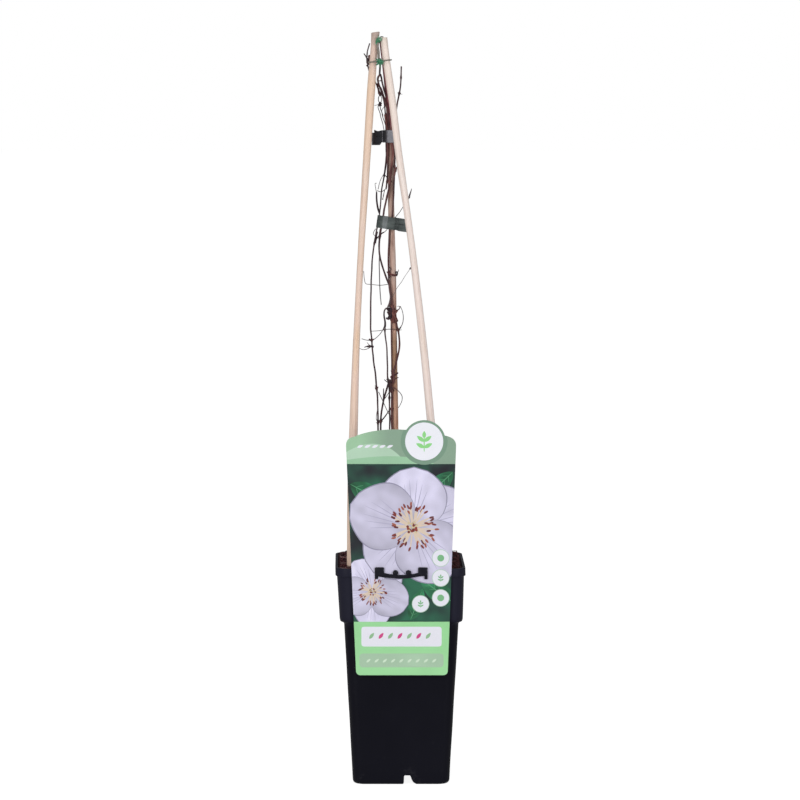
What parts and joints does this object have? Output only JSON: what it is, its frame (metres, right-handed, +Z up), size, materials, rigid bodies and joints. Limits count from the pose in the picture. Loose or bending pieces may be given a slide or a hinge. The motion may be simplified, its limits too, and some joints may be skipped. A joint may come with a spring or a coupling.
{
  "type": "potted clematis on a cane trellis",
  "caption": "Dormant clematis twined up a tied tripod of canes in a square nursery pot, with a hanging plant label.",
  "frame": {"origin": "on the ground under the middle of the whole object, which is 1.9 mm in front of the pot's own middle", "axes": "+Z up along the canes, the label faces -Y, +X to the right seen from the label"},
  "size_m": [0.13, 0.1338, 0.7531],
  "materials": {
    "pot_plastic": "semi-gloss",
    "peat_mix": "matte",
    "pale_wood": "matte",
    "brown_wood": "matte",
    "vine_bark": "matte",
    "green_tie": "satin",
    "black_tape": "gloss",
    "green_tape": "satin",
    "staple_steel": "bright",
    "label_card": "gloss print",
    "clip_plastic": "gloss"
  },
  "bodies": {
    "root": {"pot": "pot_plastic", "growing_medium": "peat_mix", "left_cane": "pale_wood", "right_cane": "pale_wood", "rear_cane": "brown_wood", "outer_vine": "vine_bark", "spiral_vine": "vine_bark", "inner_vine": "vine_bark", "short_vine": "vine_bark", "top_tie": "green_tie", "second_tie": "green_tie", "upper_tape": "black_tape", "upper_tape_staple": "staple_steel", "lower_tape": "green_tape", "lower_tape_staple": "staple_steel", "label": "label_card", "label_clip": "clip_plastic"}
  },
  "joints": []
}
